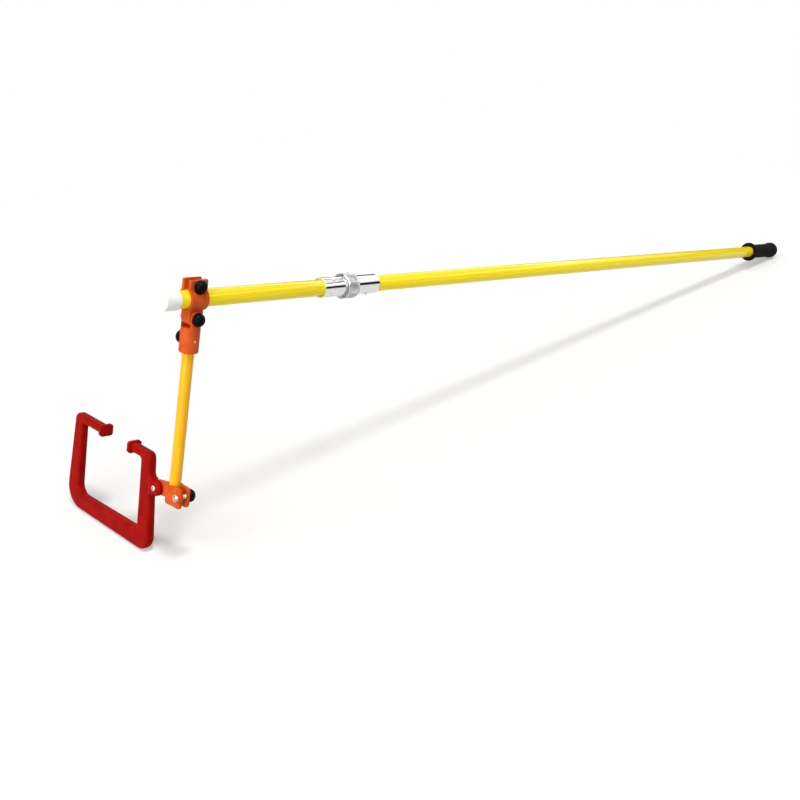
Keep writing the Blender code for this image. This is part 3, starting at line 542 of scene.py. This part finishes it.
def makeRivet(name, place, direction, body, node):
    foot, height = coupling["sleeve"] + slack["seat"], coupling["rivetHeight"]
    corners = [(foot, 0, 0), (foot, coupling["rivet"], 0.0001),
               (foot + height * 0.35, coupling["rivet"], 0.0008),
               (foot + height, coupling["rivet"] * 0.45, 0.0015), (foot + height, 0, 0)]
    piece = lathe(name, corners, turns=48)
    setDown(piece, aimed(moved(onPole, place), direction))
    dress(piece, finishes["fastener"], body, node)


makeFrontFerrule()
makeRearFerrule()
makeRing()
topside = Matrix.Rotation(math.radians(coupling["rivetTurn"]), 3, "X") @ Vector((0, 0, 1))
underside = Matrix.Rotation(math.radians(-coupling["rivetTurn"]), 3, "X") @ Vector((0, 0, -1))
makeRivet("frontRivetHead", coupling["front"] + coupling["rivetInset"], topside, "front_pole",
          "front_rivet")
makeRivet("rearRivetHead", coupling["rearEnd"] - coupling["rivetInset"], underside, "rear_pole",
          "rear_rivet")
print("coupling made")


# Clamps and rod socket

moulding = {"grain": 0.00055, "passes": 4, "keep": 0.45}


def makeClamp(name, node, body):
    piece = mouldedCopy(name, node)
    soften(piece, moulding["grain"], moulding["passes"], moulding["keep"])
    dress(piece, finishes["clamp"], body, node, 60)


makeClamp("headClampMoulding", "head_clamp", "head_clamp")
makeClamp("rodSocketMoulding", "rod_socket", "rod_arm")
makeClamp("rodClampMoulding", "rod_clamp", "rod_clamp")
print("clamps made")


# Rod

rod = {"radius": 0.010, "top": 0.020, "end": 0.330, "chamfer": 0.0012, "holeDrop": 0.0375,
       "hole": 0.0033}


def makeRod():
    corners = [(-rod["end"], 0, 0), (-rod["end"], rod["radius"], rod["chamfer"]),
               (-rod["top"], rod["radius"], rod["chamfer"]), (-rod["top"], 0, 0)]
    piece = lathe("amberRod", corners, turns=96, steps=4)
    clearSelection()
    bpy.ops.mesh.primitive_cylinder_add(vertices=32, radius=rod["hole"], depth=0.04,
                                        location=(-rod["holeDrop"], 0, 0),
                                        rotation=(math.pi / 2, 0, 0))
    combine(piece, bpy.context.object)
    setDown(piece, aimed(onSwing, (0, 0, 1)))
    dress(piece, finishes["rod"], "rod_arm", "rod")


makeRod()


# Bolts, nuts, washers and knobs

fastener = {"bolt": 0.0040, "lockBolt": 0.0030, "pitch": 0.00125, "threadDepth": 0.0005,
            "point": 0.0006, "flats": 0.013, "nut": 0.0065, "nutCorner": 1.20, "nutFace": 0.97,
            "nutRise": 0.0011, "washer": 0.0080, "washerThick": 0.0016, "gap": 0.0003,
            "pastNut": 0.0018, "recess": 0.0015, "cutPast": 0.001}
knob = {"radius": 0.0116, "height": 0.0130, "skirt": 0.0058, "bore": 0.0080, "flutes": 10,
        "fluteRadius": 0.0030, "fluteOut": 0.0020, "rimRise": 0.0009, "rimIn": 0.0008,
        "shoulderDrop": 0.0022, "shoulder": 0.66, "crown": 0.20, "grain": 0.00030, "passes": 3,
        "keep": 0.35}


def makeBolt(name, place, direction, start, end, radius, smooth, body, node):
    # smooth is the stretch (from, to) without thread
    low, point = radius - fastener["threadDepth"], fastener["point"]
    corners = [(start, 0, 0), (start, low, 0.0002), (start + point, radius, 0)]
    level = start + point
    while level + fastener["pitch"] < end - point:
        level += fastener["pitch"]
        if smooth[0] < level < smooth[1]:
            corners.append((level, radius, 0))
        else:
            corners += [(level - fastener["pitch"] / 2, low, 0), (level, radius, 0)]
    corners += [(end - point / 2, radius, 0), (end, low, 0.0002), (end, 0, 0)]
    piece = lathe(name, corners, turns=48, steps=3)
    setDown(piece, aimed(place, direction))
    dress(piece, finishes["fastener"], body, node)


def makeNut(name, place, direction, start, body, node):
    thick, flats = fastener["nut"], fastener["flats"]
    clearSelection()
    bpy.ops.mesh.primitive_cylinder_add(vertices=6, radius=flats / 2 / math.cos(math.pi / 6),
                                        depth=thick, location=(start + thick / 2, 0, 0),
                                        rotation=(0, math.pi / 2, 0))
    piece = bpy.context.object
    piece.name = piece.data.name = name
    bpy.ops.object.transform_apply(location=True, rotation=True, scale=True)
    corner, face = flats / 2 * fastener["nutCorner"], flats / 2 * fastener["nutFace"]
    end, rise, past = start + thick, fastener["nutRise"], fastener["cutPast"]
    rounded = [(start, 0, 0), (start, face, 0), (start + rise, corner, 0),
               (end - rise, corner, 0), (end, face, 0), (end, 0, 0)]
    combine(piece, lathe("nutTool", rounded, turns=72), "INTERSECT")
    hole = fastener["bolt"] + fastener["gap"]
    combine(piece, lathe("nutTool", [(start - past, 0, 0), (start - past, hole, 0),
                                     (end + past, hole, 0), (end + past, 0, 0)], turns=48))
    roundEdges(piece, 0.00018, 2, 25)
    setDown(piece, aimed(place, direction))
    dress(piece, finishes["fastener"], body, node, 25)


def makeWasher(name, place, direction, start, radius, hole, body, node):
    end = start + fastener["washerThick"]
    corners = [(start, hole, 0.0002), (start, radius, 0.0004), (end, radius, 0.0004),
               (end, hole, 0.0002)]
    piece = lathe(name, corners, ring=True, turns=64, steps=3)
    setDown(piece, aimed(place, direction))
    dress(piece, finishes["fastener"], body, node)


def modelKnob(name, hole):
    # a domed hand knob, scalloped round its rim and hollow at its foot
    tall, skirt, radius = knob["height"], knob["skirt"], knob["radius"]
    shoulder = (tall - knob["shoulderDrop"], radius * knob["shoulder"], 0.0060)
    corners = [(0, 0, 0), (0, radius - knob["rimIn"], 0.0004), (knob["rimRise"], radius, 0.0004),
               (skirt, radius, 0.0040), shoulder, (tall, radius * knob["crown"], 0.0030),
               (tall, 0, 0)]
    piece = lathe(name, corners, turns=90, steps=5)
    scallops = []
    for index in range(knob["flutes"]):
        angle = math.tau * (index + 0.5) / knob["flutes"]
        out = radius + knob["fluteOut"]
        clearSelection()
        bpy.ops.mesh.primitive_cylinder_add(
            vertices=24, radius=knob["fluteRadius"], depth=tall * 3,
            location=(tall / 2, out * math.cos(angle), out * math.sin(angle)),
            rotation=(0, math.pi / 2, 0))
        scallops.append(bpy.context.object)
    for scallop in scallops:
        scallop.select_set(True)
    bpy.context.view_layer.objects.active = scallops[0]
    bpy.ops.object.join()
    combine(piece, bpy.context.object)
    past = fastener["cutPast"]
    combine(piece, lathe("knobTool", [(-past, 0, 0), (-past, hole, 0),
                                      (knob["bore"], hole, 0), (knob["bore"], 0, 0)], turns=32))
    soften(piece, knob["grain"], knob["passes"], knob["keep"])
    return piece


def makeKnob(name, place, direction, start, hole, body, node):
    piece = modelKnob(name, hole)
    setDown(piece, moved(aimed(place, direction), start))
    dress(piece, finishes["knob"], body, node, 60)


# faces that the fasteners bear on, and the clamp bolts' places
seat = {"ear": 0.012, "cheek": 0.015, "socket": 0.0164, "rodEar": 0.011, "headBolt": 0.055,
        "boltOut": 0.0225, "rodBoltRise": 0.0020, "pocketWall": 0.0030, "pocketShare": 0.75,
        "lockPlain": 0.010}
gap = fastener["gap"]
boltHole = fastener["bolt"] + gap
onHeadBolt = moved(onPole, seat["headBolt"], 0, seat["boltOut"])
onLock = moved(onSwing, z=-rod["holeDrop"])
onRodBolt = moved(onRodClamp, y=-seat["boltOut"], z=seat["rodBoltRise"])

for name, node, place, face, body in (
        ("headClamp", "head_clamp", onHeadBolt, seat["ear"], "head_clamp"),
        ("hinge", "hinge", onSwing, seat["cheek"], "rod_arm")):
    washerStart = face + gap
    nutStart = washerStart + fastener["washerThick"] + gap
    boltEnd = nutStart + fastener["nut"] + fastener["pastNut"]
    boltStart = -(face + knob["bore"])
    makeWasher(name + "FlatWasher", place, across, washerStart, fastener["washer"], boltHole,
               body, node + "_washer")
    makeNut(name + "HexNut", place, across, nutStart, body, node + "_nut")
    makeBolt(name + "Screw", place, across, boltStart, boltEnd, fastener["bolt"], (0, 0),
             node + "_knob", node + "_bolt")
    makeKnob(name + "HandKnob", place, -across, face + gap, boltHole, node + "_knob",
             node + "_knob")

makeBolt("socketScrew", onLock, across, fastener["recess"] - seat["socket"],
         seat["socket"] + knob["bore"], fastener["lockBolt"],
         (-seat["lockPlain"], seat["lockPlain"]), "socket_knob", "socket_bolt")
makeKnob("socketHandKnob", onLock, across, seat["socket"] + gap, fastener["lockBolt"] + gap,
         "socket_knob", "socket_knob")

pocketFloor = seat["rodEar"] + seat["pocketWall"] - fastener["nut"] * seat["pocketShare"]
nutBack = pocketFloor + gap + fastener["nut"]
makeNut("rodClampHexNut", onRodBolt, (-1, 0, 0), pocketFloor + gap, "rod_clamp", "rod_clamp_nut")
makeBolt("rodClampScrew", onRodBolt, (1, 0, 0), -(nutBack + fastener["point"]),
         seat["rodEar"] + knob["bore"], fastener["bolt"], (0, 0), "rod_clamp_knob",
         "rod_clamp_bolt")
makeKnob("rodClampHandKnob", onRodBolt, (1, 0, 0), seat["rodEar"] + gap, boltHole,
         "rod_clamp_knob", "rod_clamp_knob")
print("fasteners made")


# Holder and its pivot

holder = {"depth": 0.0168, "round": 0.0046, "foot": -0.1271, "top": 0.0570, "nearFoot": 0.0020,
          "nearTop": 0.0190, "footWidth": 0.263, "topWidth": 0.233, "nearFootWidth": 0.038,
          "nearTopWidth": 0.025, "farFootWidth": 0.036, "farTopWidth": 0.022, "base": 0.0300,
          "baseRise": 0.005, "arm": 0.0160, "lug": 0.0145, "armLength": 0.061, "mouth": 0.081,
          "jaw": 0.0072, "jawLength": 0.027, "jawHeight": 0.0220, "jawCut": 0.0036,
          "jawRound": 0.0008, "tongue": 0.0064, "tongueRadius": 0.0135, "lapRun": 0.6,
          "pin": 0.0038, "nearFootRound": 0.027, "farFootRound": 0.042, "topRound": 0.012,
          "armRound": 0.006, "farBaseRound": 0.019, "nearBaseRound": 0.003, "lugRound": 0.008,
          "grain": 0.00065, "passes": 5, "keep": 0.40}


def makeHolder():
    h = holder
    foot, top = h["foot"], h["top"]

    def nearEdge(z):
        return h["nearFoot"] + (h["nearTop"] - h["nearFoot"]) * (z - foot) / (top - foot)

    armUnder, baseTop, lug = top - h["arm"], foot + h["base"], h["lug"]
    farFoot, farTop = h["nearFoot"] + h["footWidth"], h["nearTop"] + h["topWidth"]
    nearFace = h["nearTop"] + h["armLength"]
    nearBack, farBack = nearFace - h["jaw"] / 2, nearFace + h["mouth"] + h["jaw"] / 2
    lugEnd = lug * 0.999  # the lug's two end roundings almost meet
    corners = [
        (nearEdge(foot), foot, h["nearFootRound"]), (farFoot, foot, h["farFootRound"]),
        (farTop, top, h["topRound"]), (farBack, top, 0), (farBack, armUnder, 0),
        (farTop - h["farTopWidth"], armUnder, h["armRound"]),
        (farFoot - h["farFootWidth"], baseTop, h["farBaseRound"]),
        (nearEdge(foot) + h["nearFootWidth"], baseTop + h["baseRise"], h["nearBaseRound"]),
        (h["nearTop"] + h["nearTopWidth"], armUnder, h["armRound"]), (nearBack, armUnder, 0),
        (nearBack, top, 0), (h["nearTop"], top, h["topRound"]),
        (nearEdge(lug), lug, h["lugRound"]), (-lug, lug, lugEnd), (-lug, -lug, lugEnd),
        (nearEdge(-lug), -lug, h["lugRound"])]
    piece = extrudeOutline("holderCasting", corners, h["depth"], 12)
    roundEdges(piece, h["round"], 6, 50)
    half, low = h["jawLength"] / 2, armUnder + h["arm"] / 2 - h["jawHeight"] / 2
    high, cutBack = low + h["jawHeight"], h["jawCut"]
    head = [(-half + cutBack, low, 0), (half - cutBack, low, 0), (half, low + cutBack, 0),
            (half, high - cutBack, 0), (half - cutBack, high, 0), (-half + cutBack, high, 0),
            (-half, high - cutBack, 0), (-half, low + cutBack, 0)]
    for middle in (nearBack, farBack):
        jaw = extrudeOutline("jawTool", head, h["jaw"])
        roundEdges(jaw, h["jawRound"], 2, 20)
        setDown(jaw, Matrix.Translation((0, middle, 0)) @ Matrix.Rotation(math.pi / 2, 4, "Z"))
        combine(piece, jaw, "UNION")
    front = h["depth"] / 2 - h["tongue"] - slack["running"]
    back = h["depth"] / 2 + fastener["cutPast"]
    reach = h["tongueRadius"] + 2 * slack["running"]
    combine(piece, lathe("lapTool", [(front, 0, 0), (front, reach, 0), (back, reach, 0),
                                     (back, 0, 0)], turns=96))
    clearSelection()
    wide = h["lug"] * 4  # well past the lug on every side
    span = h["tongueRadius"] * h["lapRun"] + wide / 2
    bpy.ops.mesh.primitive_cube_add(size=1, location=((front + back) / 2, span / 2 - wide / 2, 0),
                                    scale=(back - front, span, wide))
    combine(piece, bpy.context.object)
    combine(piece, lathe("pinTool", [(-back, 0, 0), (-back, h["pin"], 0), (back, h["pin"], 0),
                                     (back, 0, 0)], turns=32))
    soften(piece, h["grain"], h["passes"], h["keep"])
    setDown(piece, onPivot)
    dress(piece, finishes["holder"], "holder", "holder_frame", 60)


pivot = {"radius": 0.0035, "head": 0.0052, "headHeight": 0.0016, "headFlat": 0.55,
         "headEdge": 0.45, "half": 0.0084, "tail": 0.001, "retainer": 0.0072}


def makePivot():
    face = pivot["half"] + slack["seat"]
    tail = face + fastener["washerThick"] + pivot["tail"]
    corners = [(-face - pivot["headHeight"], 0, 0),
               (-face - pivot["headHeight"], pivot["head"] * pivot["headFlat"], 0.0010),
               (-face - pivot["headHeight"] * pivot["headEdge"], pivot["head"], 0.0004),
               (-face, pivot["head"], 0.0001), (-face, pivot["radius"], 0),
               (tail, pivot["radius"], 0.0004), (tail, 0, 0)]
    piece = lathe("pivotPinHead", corners, turns=64)
    setDown(piece, onPivot)
    dress(piece, finishes["fastener"], "rod_clamp", "pivot_pin")
    makeWasher("pivotRetainer", onPivot, (1, 0, 0), face, pivot["retainer"],
               pivot["radius"] + gap, "rod_clamp", "pivot_washer")


makeHolder()
makePivot()
print("holder made")


# Floor, light and camera

studio = {"floor": "#c8c7c5", "floorSize": 4, "floorDrop": 0.0005, "floorGlow": 0.285,
          "mirrorGlow": 0.3, "mirrorFloor": "#f3e6df", "world": 0.34, "lampPeak": 6.0,
          "key": 0.50, "keyHeading": (0.02, 0.30, -1.0), "keySpread": 11,
          "side": 0.99, "sideHeading": (0.80, 0.10, -0.45), "sideSpread": 80}

# what a glossy surface sees of the room, as (rise of the direction, brightness): the floor's far
# end, a dark gap at the horizon, a strip lamp, and the ceiling
roomBands = [(-0.48, 0.79), (-0.34, 0.71), (-0.23, 0.58), (-0.09, 0.30), (-0.05, 0.015),
             (0.17, 0.015), (0.22, 0.95), (0.36, 1.0), (0.38, 6.0), (0.42, 6.0), (0.44, 1.0),
             (0.49, 0.30), (0.54, 0.30), (0.59, 1.0)]


def makeFloor():
    clearSelection()
    bpy.ops.mesh.primitive_plane_add(size=studio["floorSize"], location=(0, 0, -studio["floorDrop"]))
    floor = bpy.context.object
    floor.name = "studioFloor"
    material, tree, shader = startMaterial("mattPaperFloor", Roughness=0.9)
    shader.inputs["Base Color"].default_value = sRgb(studio["floor"])
    shader.inputs["Specular IOR Level"].default_value = 0.0
    path = addNode(tree, "ShaderNodeLightPath")
    tint = addNode(tree, "ShaderNodeValToRGB", {"Fac": path.outputs["Is Glossy Ray"]})
    tint.color_ramp.elements[0].color = (1, 1, 1, 1)
    tint.color_ramp.elements[1].color = sRgb(studio["mirrorFloor"])
    direct = addNode(tree, "ShaderNodeMath", {0: path.outputs["Is Camera Ray"],
                                              1: studio["floorGlow"]}, operation="MULTIPLY")
    glow = addNode(tree, "ShaderNodeMath", {0: path.outputs["Is Glossy Ray"],
                                            1: studio["floorGlow"] * studio["mirrorGlow"],
                                            2: direct.outputs[0]}, operation="MULTIPLY_ADD")
    tree.links.new(tint.outputs["Color"], shader.inputs["Emission Color"])
    tree.links.new(glow.outputs[0], shader.inputs["Emission Strength"])
    floor.data.materials.append(material)


def makeWorld():
    world = bpy.data.worlds.new("studio")
    bpy.context.scene.world = world
    world.use_nodes = True
    tree = world.node_tree
    tree.nodes.clear()
    place = addNode(tree, "ShaderNodeTexCoord")
    split = addNode(tree, "ShaderNodeSeparateXYZ", {"Vector": place.outputs["Generated"]})
    height = addNode(tree, "ShaderNodeMapRange", {"Value": split.outputs["Z"], "From Min": -1.0})
    band = addNode(tree, "ShaderNodeValToRGB", {"Fac": height.outputs["Result"]})
    ramp = band.color_ramp
    # the ramp's greys are shares of the lamp's brightness, which the mirror strength restores
    first, *others = [((rise + 1) / 2, (*[grey / studio["lampPeak"]] * 3, 1))
                      for rise, grey in roomBands]
    ramp.elements[0].position, ramp.elements[0].color = first
    ramp.elements[1].position, ramp.elements[1].color = others.pop()
    for place, colour in others:
        ramp.elements.new(place).color = colour
    path = addNode(tree, "ShaderNodeLightPath")
    soft = addNode(tree, "ShaderNodeBackground", {"Color": (1, 1, 1, 1),
                                                  "Strength": studio["world"]})
    white = addNode(tree, "ShaderNodeBackground", {"Color": (1, 1, 1, 1), "Strength": 1.0})
    mirror = addNode(tree, "ShaderNodeBackground", {"Color": band.outputs["Color"],
                                                    "Strength": studio["lampPeak"]})
    glossy = addNode(tree, "ShaderNodeMixShader", {0: path.outputs["Is Glossy Ray"],
                                                   1: soft.outputs[0], 2: mirror.outputs[0]})
    seen = addNode(tree, "ShaderNodeMixShader", {0: path.outputs["Is Camera Ray"],
                                                 1: glossy.outputs[0], 2: white.outputs[0]})
    addNode(tree, "ShaderNodeOutputWorld", {"Surface": seen.outputs[0]})


def makeSoftLight(name, heading, spread, strength):
    # a far softbox, drawn as a sun lamp with a wide disc; heading is where its light goes
    bpy.ops.object.light_add(type="SUN", location=(0, 0, 3))
    light = bpy.context.object
    light.name = name
    light.data.angle = math.radians(spread)
    light.data.energy = strength * math.pi
    light.rotation_mode = "QUATERNION"
    light.rotation_quaternion = Vector(heading).to_track_quat("-Z", "Y")


shot = {"place": (-1.9848, -1.5774, 1.1506), "azimuth": 44.103, "down": 26.804, "roll": -0.470,
        "lens": 51.57}


def makeCamera():
    azimuth, down = math.radians(shot["azimuth"]), math.radians(shot["down"])
    ahead = Vector((math.cos(down) * math.cos(azimuth), math.cos(down) * math.sin(azimuth),
                    -math.sin(down)))
    bpy.ops.object.camera_add(location=shot["place"])
    camera = bpy.context.object
    camera.data.lens = shot["lens"]
    camera.data.sensor_width = 36
    camera.rotation_mode = "QUATERNION"
    camera.rotation_quaternion = (ahead.to_track_quat("-Z", "Y")
                                  @ Quaternion((0, 0, 1), math.radians(shot["roll"])))
    bpy.context.scene.camera = camera


makeFloor()
makeWorld()
makeSoftLight("overheadSoftbox", studio["keyHeading"], studio["keySpread"], studio["key"])
makeSoftLight("sideSoftbox", studio["sideHeading"], studio["sideSpread"], studio["side"])
makeCamera()
bpy.context.scene.view_settings.view_transform = "Standard"
print("stage set")
